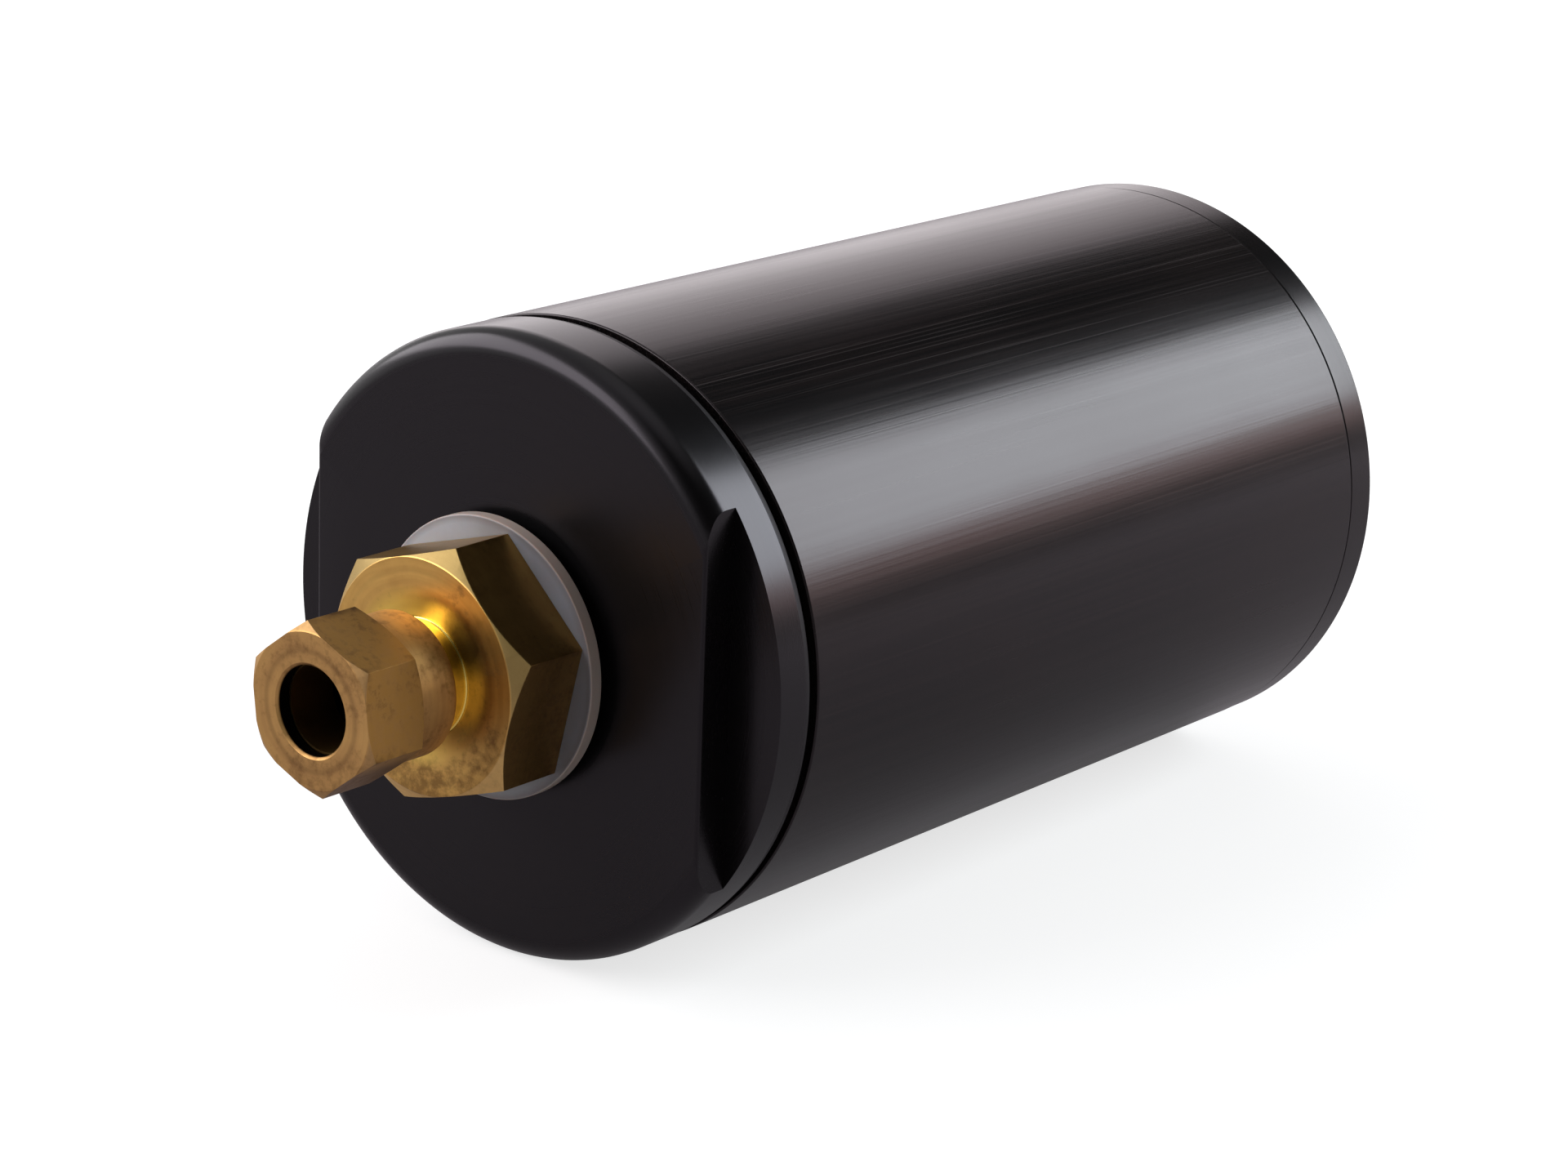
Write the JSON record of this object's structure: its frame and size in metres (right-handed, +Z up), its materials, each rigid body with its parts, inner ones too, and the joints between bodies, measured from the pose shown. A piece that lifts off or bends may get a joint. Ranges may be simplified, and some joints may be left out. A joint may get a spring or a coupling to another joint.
{
  "type": "hydraulic reservoir",
  "caption": "Cylindrical spring-loaded hydraulic reservoir with a floating piston, screwed end caps and a brass compression port for small-bore tube.",
  "frame": {"origin": "under the middle of the overall length, on the line where the barrel touches the surface it lies on", "axes": "+Z up, +Y along the barrel from the oil port towards the rear cap, +X to the right of someone who looks along +Y at the port"},
  "size_m": [0.06, 0.1276, 0.06],
  "materials": {
    "barrel_anodised": "satin black anodised with fine lengthways drawing marks",
    "front_cap_anodised": "matt to satin black anodised, turned",
    "rear_cap_anodised": "satin black anodised",
    "black_rubber": "matt",
    "white_nylon": "translucent satin",
    "adaptor_brass": "machined and dulled, darker on the side flats",
    "nut_brass": "machined and dulled",
    "ferrule_brass": "turned",
    "breather_brass": "turned",
    "sintered_bronze": "porous, matt",
    "spring_steel": "drawn wire",
    "zinc_steel": "bright zinc",
    "plain_aluminium": "fine turned",
    "guide_plastic": "plain",
    "soft_copper": "annealed"
  },
  "bodies": {
    "housing": {"barrel": "barrel_anodised", "front_cap": "front_cap_anodised", "joint_ring": "black_rubber", "port_washer": "white_nylon", "port_adaptor": "adaptor_brass", "rear_cap": "rear_cap_anodised", "rear_o_ring": "black_rubber", "breather_plug": "breather_brass", "breather_filter": "sintered_bronze", "breather_ring": "spring_steel", "spring_seat": "zinc_steel", "return_spring": "spring_steel"},
    "floating_piston": {"piston": "plain_aluminium", "piston_front_seal": "black_rubber", "piston_rear_seal": "black_rubber", "guide_band": "guide_plastic", "bleed_screw": "zinc_steel", "bleed_seal": "soft_copper"},
    "sealing_ferrule": {"ferrule": "ferrule_brass"},
    "nut": {"compression_nut": "nut_brass"}
  },
  "joints": [
    {"name": "piston_travel", "type": "slide", "parent": "housing", "child": "floating_piston", "axis": [0, 1, 0], "range_m": [0, 0.042], "stiffness_N_per_m": 1000, "springref_m": -0.02, "deforming": ["return_spring"]},
    {"name": "nut_travel", "type": "slide", "parent": "housing", "child": "sealing_ferrule", "axis": [0, -1, 0], "range_m": [0, 0.0051]},
    {"name": "nut_turn", "type": "hinge", "parent": "sealing_ferrule", "child": "nut", "pos_m": [0, -0.058, 0.03], "axis": [0, -1, 0], "range_deg": [0, 1800]}
  ],
  "couplings": [
    {"joint": "nut_travel", "follows": "nut_turn", "m_per_rad": 0.00015915}
  ]
}
